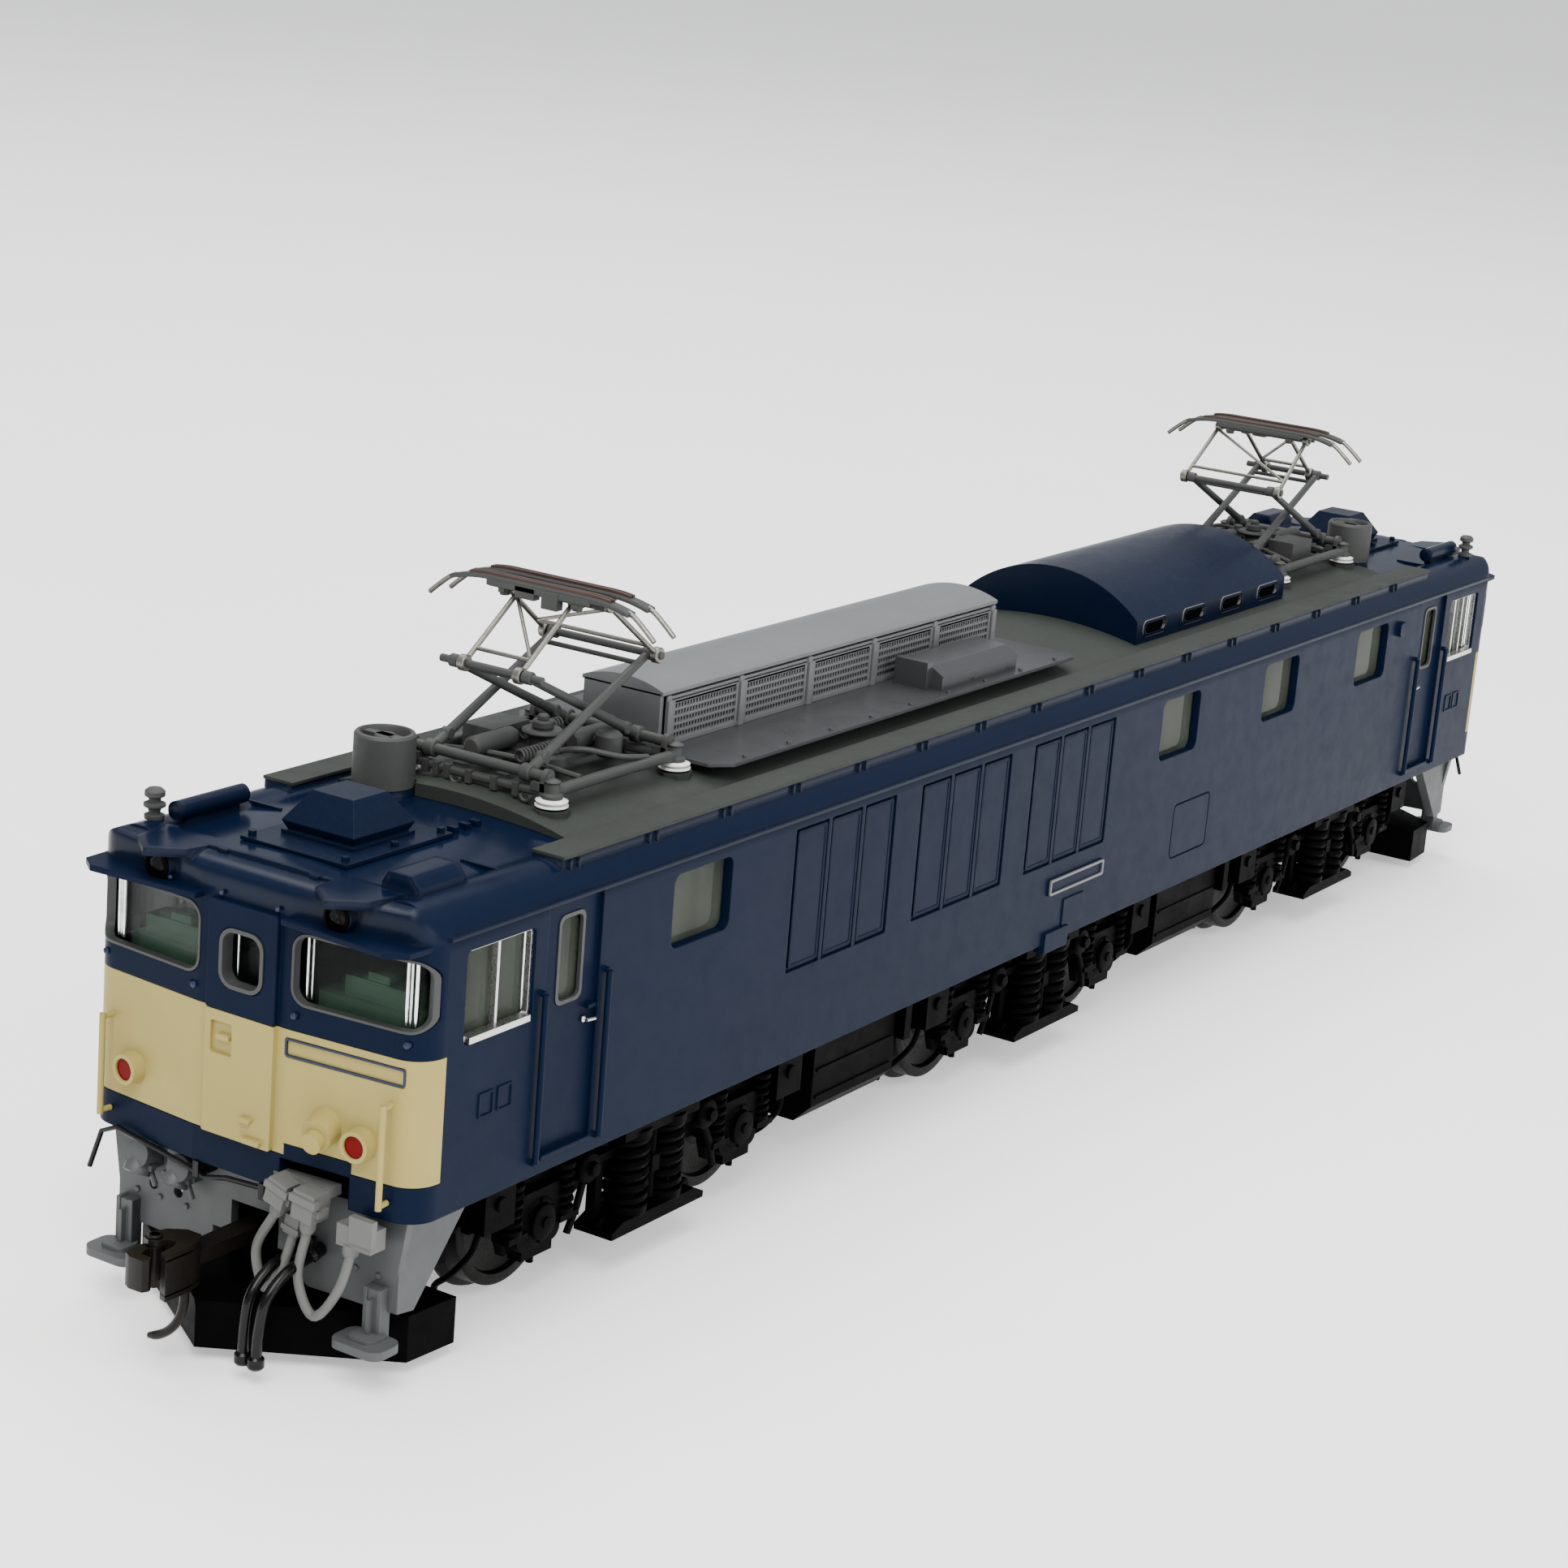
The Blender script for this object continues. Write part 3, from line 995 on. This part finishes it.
def bogie_side(s):
    """The cast side frame on the +X side of a bogie centred on the origin."""
    outline = [(-24.5, 8.8), (-24.5, 11.4), (-19.5, 12.8), (-9.6, 12.8), (-7.4, 11.0), (7.4, 11.0), (9.6, 12.8),
               (19.5, 12.8), (24.5, 11.4), (24.5, 8.8), (21.4, 8.6), (20.2, 7.4), (19.4, 5.2), (11.8, 5.2),
               (11.0, 7.4), (9.0, 8.4), (-9.0, 8.4), (-11.0, 7.4), (-11.8, 5.2), (-19.4, 5.2), (-20.2, 7.4),
               (-21.4, 8.6)]
    s.prism(outline, 12.15, 13.0, "x", 0.22, 2)
    s.prism([(-24.2, 11.2), (-19.4, 12.5), (-9.8, 12.5), (-7.5, 10.6), (7.5, 10.6), (9.8, 12.5), (19.4, 12.5),
             (24.2, 11.2), (24.2, 12.0), (19.6, 13.3), (9.4, 13.3), (7.3, 11.4), (-7.3, 11.4), (-9.4, 13.3),
             (-19.6, 13.3), (-24.2, 12.0)], 12.0, 14.0, "x", 0.15, 1)
    for e in (-1, 1):
        y = e * HALF_BASE
        z = AXLE_R
        s.prism(rounded(y, z + 0.3, 6.2, 5.4, 1.1), 12.9, 13.9, "x", 0.15, 1)
        s.lathe((13.0, y, z), X, [(0, 2.3), (0.8, 2.3), (1.0, 2.1), (1.05, 1.7), (1.5, 1.62), (1.6, 1.2),
                                  (1.62, 0.55), (1.8, 0.5), (1.85, 0)], 32)
        for k in range(6):
            a = math.pi / 3 * k + 0.5
            s.disc((13.95, y + 1.9 * math.cos(a), z + 1.9 * math.sin(a)), X, 0.2, 0.25, 8, 0.05)
        for side in (-1, 1):
            spring(s, 13.35, y + side * 3.7, 7.7, 11.9, 0.95, 0.28, 5)
            s.box((12.6, y + side * 3.7 - 1.35, 6.9), (14.5, y + side * 3.7 + 1.35, 7.5), 0.15)
        s.box((12.3, y - 2.2, 4.4), (13.8, y + 2.2, 5.6), 0.25)
        s.rod((13.1, y, 4.6), (13.1, y, 3.6), 0.35, 12)
        for side in (-1, 1):
            near = y + side * (AXLE_R + 0.7)
            s.prism([(near - side * 0.2, 5.2), (near + side * 1.1, 5.6), (near + side * 1.25, 9.6),
                     (near + side * 0.35, 9.8), (near - side * 0.15, 8.6), (near - side * 0.35, 7.0)],
                    8.4, 10.2, "x", 0.12, 1)
            s.box((8.8, near + side * 0.7 - 0.25, 8.6), (11.6, near + side * 0.7 + 0.25, 9.3), 0.1)
            s.rod((11.5, near + side * 0.6, 9.0), (11.5, near + side * 0.6, 12.2), 0.35, 10)
        s.lathe((13.0, e * 9.2, 10.9), X, [(0, 1.5), (1.4, 1.5), (1.6, 1.3), (1.7, 0.7), (2.2, 0.6),
                                           (2.25, 0)], 26)
        s.sweep([(13.9, e * 9.2, 10.0), (14.1, e * 10.4, 7.6), (13.9, e * 11.4, 5.2)],
                rounded(0, 0, 0.8, 0.5, 0.2, 2), X)
        s.box((12.4, e * 22.6 - 2.1, 9.2), (14.8, e * 22.6 + 2.1, 13.3), 0.35, 3)
        s.box((12.6, e * 22.6 - 1.6, 13.2), (14.6, e * 22.6 + 1.6, 13.8), 0.2)
        s.disc((14.75, e * 22.6, 11.6), X, 0.7, 0.35, 20, 0.1)
        s.tube(smooth_line([(13.4, e * 23.4, 9.3), (13.0, e * 24.0, 7.0), (11.2, e * 24.3, 4.6),
                            (9.6, e * 24.2, 3.2), (9.2, e * 23.9, 2.3)]), 0.3, 8)
        s.tube(smooth_line([(14.1, e * 20.2, 12.6), (14.3, e * 15, 13.0), (14.2, e * 9, 12.8),
                            (14.1, e * 6.4, 12.2)]), 0.2, 6)
    for y in (-2.7, 2.7):
        spring(s, 13.8, y, 5.3, 12.6, 1.75, 0.45, 6.5)
    s.prism([(-7.2, 3.7), (7.2, 3.7), (7.2, 4.3), (5.6, 5.0), (-5.6, 5.0), (-7.2, 4.3)], 11.7, 15.9, "x", 0.2, 2)
    for y in (-6.4, 6.4):
        s.box((12.6, y - 0.5, 4.0), (13.6, y + 0.5, 10.8), 0.15)
        s.disc((13.5, y, 4.6), X, 0.7, 0.9, 16, 0.12)
    s.box((12.0, -5.8, 12.6), (15.7, 5.8, 13.6), 0.25)
    s.rod((14.6, -0.1, 5.6), (14.6, -0.1, 12.2), 0.5, 16)
    s.box((14.2, -0.7, 8.2), (15.3, 0.5, 9.8), 0.2)


def bogie_middle_part(s, driven):
    """Frame between the side frames; a driven one also carries the worm towers over its inner axle."""
    for side in (-1, 1):
        s.box((side * 4.6, -20.5, 4.5), (side * 6.5, 20.5, 12.3), 0.3)
        for y in (-HALF_BASE, HALF_BASE):
            s.disc((side * 6.5, y, AXLE_R), (-side, 0, 0), 2.0, 0.3, 24, 0.1)
    for y in (-20.5, 20.5):
        s.box((-6, y - 0.6, 4.7), (6, y + 0.6, 11.9), 0.2)
    s.box((-6, -6, 7.7), (-1.8, 6, 13.7), 0.3)
    s.box((1.8, -6, 7.7), (6, 6, 13.7), 0.3)
    for y in (-3.9, 3.9):
        s.box((-6, y - 2.0, 7.7), (6, y + 2.0, 13.7), 0.3)
    s.box((-12.6, -2.9, 8.1), (-5.8, 2.9, 10.9), 0.25)
    s.box((5.8, -2.9, 8.1), (12.6, 2.9, 10.9), 0.25)
    for y in (-24.2, 24.2):
        s.box((-12.6, y - 0.6, 9.4), (12.6, y + 0.6, 10.7), 0.15)
    for side in (-1, 1):
        s.box((-3, side * 20.2, 9.4), (3, side * 24.2, 10.7), 0.15)
    if driven:
        for y in (HALF_BASE - 5.9, HALF_BASE + 5.9):
            s.box((-5, y - 0.7, 12.6), (5, y + 0.7, 17.3), 0.25)


def bogies():
    """The three bogie frames; the outer two are driven, the rear one is turned round."""
    for name, yc in BOGIES.items():
        turn = HALF_TURN if yc > 1 else Matrix.Identity(4)
        s = begin(turn @ Matrix.Translation((0, -abs(yc), 0)))
        bogie_side(s)
        s.twin(MIRROR_X)
        bogie_middle_part(s, abs(yc) > 1)
        s.piece(f"{name}_frame", name, "black", replaces=(name,), slot="black_plastic")


def wheels():
    """Wheels with coned treads, flanges and hubs, on bright axles."""
    for i, y in enumerate(AXLES, 1):
        node = f"wheelset_{i}"
        s = begin()
        s.index = 1
        s.lathe((-12.2, y, AXLE_R), X, [(0, 0), (0, 0.6), (0.4, 0.95), (24.0, 0.95), (24.4, 0.6),
                                        (24.4, 0)], 20)
        for side in (-1, 1):
            s.index = 0
            s.lathe((side * 7.25, y, AXLE_R), (side, 0, 0),
                    [(0, 6.4), (0, AXLE_R - 0.25), (0.25, AXLE_R), (0.55, AXLE_R - 0.1), (0.95, AXLE_R - 0.68),
                     (2.9, AXLE_R - 0.78), (3.0, AXLE_R - 0.95), (3.0, 5.9), (2.5, 5.7), (2.2, 4.4), (2.2, 2.9),
                     (2.7, 2.2), (2.75, 1.3), (2.75, 0.9)], 64)
            s.lathe((side * 7.25, y, AXLE_R), (side, 0, 0),
                    [(0.0, 0.9), (0.0, 2.4), (0.5, 3.0), (0.5, 5.6), (0.1, 6.4)], 64)
        if i in (2, 5):
            s.index = 2
            teeth = 20
            ring = []
            for k in range(teeth):
                for t, r in ((-0.34, 5.0), (-0.16, 5.85), (0.16, 5.85), (0.34, 5.0)):
                    a = 2 * math.pi * (k + t) / teeth + math.pi / 2
                    ring.append((y + r * math.cos(a), AXLE_R + r * math.sin(a)))
            s.prism(ring, -1.2, 1.2, "x")
            s.lathe((-2.4, y, AXLE_R), X, [(0, 0.9), (0, 1.6), (4.8, 1.6), (4.8, 0.9)], 24)
        s.piece(f"wheels_{i}", node, ("wheel", "steel", "green"), replaces=(node,), slot="wheel_steel")


# ---------- ends below the floor ----------

@both_ends
def couplers(end, turn):
    """Knuckle couplers: shank, open head, pin, trip wire and the turning claw."""
    s = begin(turn @ Matrix.Translation(COUPLER))
    s.disc((0, 0, -0.7), Z, 1.8, 0.32, 28, 0.08)
    s.lathe((0, 0, -0.7), Z, [(0, 1.0), (0, 1.8), (1.4, 1.8), (1.4, 1.0)], 32)
    reach = KNUCKLE.y - COUPLER.y
    s.prism([(-0.9, reach + 2.6), (0.9, reach + 2.6), (1.05, reach + 8.2), (1.05, -1.4), (0.8, -0.8),
             (-0.8, -0.8), (-1.05, -1.4), (-1.05, reach + 8.2)], -0.65, 0.65, "z", 0.15)
    s.at = turn @ Matrix.Translation((0, KNUCKLE.y, KNUCKLE.z))
    head = [(1.95, -2.3), (1.95, 0.6), (1.5, 2.2), (0.9, 3.0), (-0.6, 3.0), (-1.9, 2.0), (-2.3, 1.0),
            (-2.2, -0.5), (-1.4, -0.8), (-0.7, -0.4), (-0.3, 0.4), (0.5, 0.5), (0.9, -0.2), (1.1, -2.0)]
    s.prism(head, 1.45, 2.0, "z", 0.12)
    s.prism(head, -2.0, -1.45, "z", 0.12)
    s.prism([(1.95, -2.3), (1.95, 0.6), (1.5, 2.2), (0.9, 3.0), (-0.3, 3.0), (-0.6, 1.8), (0.5, 1.4),
             (1.0, 0.2), (1.1, -2.0)], -1.6, 1.6, "z", 0.1)
    s.rod((KNUCKLE.x, 0, -2.3), (KNUCKLE.x, 0, 2.3), 0.42, 18)
    s.disc((KNUCKLE.x, 0, 2.0), Z, 0.62, 0.3, 18, 0.08)
    s.tube([Vector((0.9, 1.2, -1.5)), Vector((0.9, 1.2, -2.9))]
           + arc((0.9 - TRIP_R, 1.2, -2.9), TRIP_R, -4, -78, 12, ("x", "z")), [0.4] * 13 + [0.36, 0.25], 12)
    s.piece(f"coupler_body_{end}", f"coupler_{end}", "coupler", replaces=(f"coupler_{end}",),
            slot="black_plastic")
    k = begin(turn @ Matrix.Translation((0, KNUCKLE.y, KNUCKLE.z)))
    k.lathe((KNUCKLE.x, 0, -1.4), Z, [(0, 0.5), (0, 0.82), (2.8, 0.82), (2.8, 0.5)], 26)
    claw = [(-2.1, -0.1), (-1.15, -0.7), (-1.1, -1.6), (-0.8, -2.15), (0.3, -2.2), (0.45, -2.6), (0.2, -3.15),
            (-1.2, -3.2), (-1.95, -2.8), (-2.2, -1.8)]
    k.prism(claw, -1.4, 1.4, "z", 0.18, 3)
    k.piece(f"coupler_knuckle_{end}", f"knuckle_{end}", "coupler", replaces=(f"knuckle_{end}",),
            slot="black_plastic")


def plug(shape, at, tilt, size=1.0):
    """A jumper plug: ribbed body, clamp and sleeve, tilted about the lengthwise axis."""
    keep = shape.at
    lean = Matrix.Rotation(math.radians(tilt), 4, "Y")
    shape.at = keep @ Matrix.Translation(at) @ lean @ Matrix.Scale(size, 4)
    shape.box((-1.0, -1.0, -0.4), (1.0, 1.0, 1.9), 0.3, 3)
    shape.box((-1.25, -1.15, 0.9), (1.25, -0.55, 1.5), 0.15)
    shape.box((-1.3, -0.6, 0.1), (-0.9, 0.6, 0.7), 0.12)
    shape.box((0.9, -0.6, 0.1), (1.3, 0.6, 0.7), 0.12)
    shape.lathe((0, 0, -1.6), Z, [(0, 0.5), (0.3, 0.62), (0.9, 0.66), (1.2, 0.85), (1.4, 0.85)], 18)
    shape.at = keep


@both_ends
def jumpers(end, turn):
    """Two jumper cables hanging in loops from their plugs to the dummy sockets on the skirt."""
    s = begin(turn)
    y = -113.0
    plug(s, (5.3, y, 14.6), 16)
    plug(s, (8.5, y - 0.1, 14.3), 6, 1.1)
    s.box((3.9, -112.4, 15.6), (9.8, -110.4, 16.5), 0.25)
    for start, over, foot, back, sag in (
            ((4.8, y, 13.2), (3.1, y - 0.2, 9.6), (4.3, y - 0.35, 6.5), (6.1, y + 1.1, 12.0), 0.75),
            ((8.3, y, 12.8), (7.7, y - 0.25, 8.4), (9.6, y - 0.4, 5.6), (12.4, y + 0.9, 12.2), 1.0)):
        rise = (Vector(back) + Vector(foot)) * 0.5 + Vector((sag, -0.6, -0.4))
        s.tube(smooth_line([start, over, foot, rise, back], 9), 0.42, 12)
    plug(s, (6.3, -111.9, 12.9), 190, 0.75)
    s.box((11.2, -112.9, 12.3), (14.8, -111.0, 14.2), 0.3)
    s.box((12.6, -113.1, 12.9), (15.0, -112.4, 15.2), 0.25)
    s.lathe((12.4, -112.2, 12.5), (-0.25, 0, -1), [(0, 0.8), (1.0, 0.7), (1.3, 0.5)], 18)
    s.piece(f"jumper_set_{end}", "body", "cable", replaces=(f"jumper_cables_{end}",), slot="cable_grey")


@both_ends
def hoses(end, turn):
    """Air hoses with their cocks, and the uncoupling lever."""
    s = begin(turn)
    for x, lean in ((5.6, -0.3), (7.4, -0.7)):
        s.lathe((x, -110.1, 9.9), (0, -1, -0.2), [(0, 0.62), (1.2, 0.7), (1.5, 0.45)], 16)
        s.box((x - 0.25, -111.6, 10.2), (x + 0.25, -111.0, 11.3), 0.1)
        s.tube(smooth_line([(x, -111.2, 9.6), (x + lean * 0.1, -114.2, 9.0), (x + lean * 0.4, -116.4, 7.2),
                            (x + lean * 0.8, -116.9, 4.4), (x + lean, -116.9, 1.8)], 8), 0.48, 12)
        s.lathe((x + lean, -116.9, 2.3), (0, 0, -1), [(0, 0.55), (0.2, 0.72), (0.9, 0.74), (1.1, 0.6),
                                                      (1.2, 0)], 16)
        s.disc((x + lean, -117.3, 1.7), (0, -1, 0), 0.4, 0.2, 14, 0.06)
    s.tube([(-16.3, -112.6, 11.2), (-15.3, -112.3, 14.6), (-13.6, -112.3, 15.4), (-6.4, -112.3, 14.3),
            (-3.6, -112.3, 13.7), (-1.2, -112.3, 14.3), (3.4, -112.3, 14.6)], 0.24, 8)
    for x in (-4.4, 2.8):
        s.box((x - 0.3, -112.6, 13.6), (x + 0.3, -110.1, 15.0), 0.1)
    s.piece(f"air_hoses_{end}", "body", "gloss_black", replaces=(f"brake_hoses_{end}",),
            slot="black_plastic")


@both_ends
def skirt_details(end, turn):
    """Sockets, hangers and flared steps on the grey end skirt."""
    s = begin(turn)
    for x in (-11.6, -7.4):
        s.box((x - 1.2, -111.4, 12.8), (x + 1.2, -109.8, 15.0), 0.3)
        s.lathe((x, -111.0, 13.4), (0, -0.55, -1), [(0, 0.95), (1.0, 1.0), (1.3, 1.2), (1.9, 1.2), (2.0, 0.9),
                                                    (1.8, 0)], 20)
        s.box((x - 1.5, -111.7, 12.1), (x + 1.5, -111.1, 12.6), 0.15)
        s.rod((x + 0.8, -111.2, 12.4), (x + 1.3, -110.9, 10.6), 0.25, 8)
    for x in (-10.6, -7.6, -13.2, 11.0, 13.4):
        s.disc((x, -109.85, 9.2), (0, -1, 0), 0.28, 0.25, 12, 0.06)
    for side in (-1, 1):
        for x in (13.0, 14.4):
            s.box((side * (x - 0.2), -111.0, 4.0), (side * (x + 0.2), -109.7, 8.5), 0.08)
        s.prism(rounded(side * 13.7, -111.6, 5.2, 3.6, 1.1), 3.42, 4.18, "z", 0.16)
        s.prism(rounded(side * 13.7, -111.4, 2.6, 2.4, 0.6), 4.0, 4.6, "z", 0.16)
    s.piece(f"skirt_sockets_{end}", "body", "skirt", slot="skirt_grey")


# ---------- inside ----------

@both_ends
def interior(end, turn):
    """Driver's desk, instrument box and seats seen through the cab windows."""
    s = begin(turn)
    s.box((-16.0, -109.4, 27.7), (16.0, -89.2, 28.4), 0.1)
    for side in (-1, 1):
        s.box((side * 5.2, -109.2, 28.3), (side * 15.4, -105.4, 31.8), 0.5, 3)
        s.box((side * 7.4, -108.6, 31.4), (side * 14.4, -106.2, 33.5), 0.6, 3)
        s.box((side * 9.6, -108.4, 33.2), (side * 11.8, -106.6, 34.2), 0.4, 3)
        s.box((side * 8.6, -100.8, 28.3), (side * 13.2, -97.0, 30.2), 0.7, 3)
        s.box((side * 8.6, -97.4, 29.6), (side * 13.2, -96.2, 35.2), 0.6, 3)
    s.box((-16.0, -89.9, 28.3), (16.0, -89.2, 38.4), 0.1)
    s.piece(f"cab_desks_{end}", "body", "green", replaces=(f"cab_interior_{end}",),
            slot="interior_green")


# ---------- sides ----------

def filter_panels():
    """Framed air filter columns in both sides with fine slats."""
    s = begin()
    for side in (-1, 1):
        a, b = sorted((side * (HALF_W - 0.34), side * (HALF_W - 0.06)))
        c, d = sorted((side * (HALF_W - 0.33), side * (HALF_W - 0.2)))
        for yc in FILTER_Y:
            for y in (yc - FILTER_PITCH, yc, yc + FILTER_PITCH):
                s.frame(rounded(y, FILTER_Z, 5.0, 13.3, 0.25, 2), rounded(y, FILTER_Z, 4.3, 12.6, 0.15, 2), a, b)
                for z in [24.9 + k * 0.46 for k in range(27)]:
                    s.prism([(y - 2.2, z), (y + 2.2, z), (y + 2.2, z + 0.16), (y - 2.2, z + 0.16)], c, d, "x")
    s.piece("filter_panels", "body", "navy_panel", slot="navy_plastic")


def plates():
    """Blank number plates and builder's plates: plain plates with a raised rim."""
    s = begin()
    for side in (-1, 1):
        a, b = sorted((side * (HALF_W + 0.1), side * (HALF_W + 0.34)))
        s.frame(rounded(-1, 21.3, 11.8, 1.7, 0.25, 3), rounded(-1, 21.3, 11.3, 1.2, 0.15, 3), a, b)
    s.piece("number_plate_rims", "body", "silver", slot="silver_plastic")
    for end, turn in ENDS:
        s = begin(turn)
        ring_out = rounded(10.4, 27.45, 11.6, 1.6, 0.3, 4)
        ring_in = rounded(10.4, 27.45, 11.25, 1.25, 0.15, 4)
        shell_frame(s, ring_out, ring_in, 0.1, 0.15)
        s.piece(f"front_plate_rim_{end}", "body", "dark_navy", slot="navy_plastic")


# ---------- the scene ----------

make_camera()
make_stage()
dress_nodes()

cab_window_frames()
cab_details()
headlights()
resistor_housing()
cover_windows()
roof_lines()
arrester()
panto_base()
panto_arms()
panto_head()
bogies()
wheels()
couplers()
jumpers()
hoses()
skirt_details()
interior()
filter_panels()
plates()
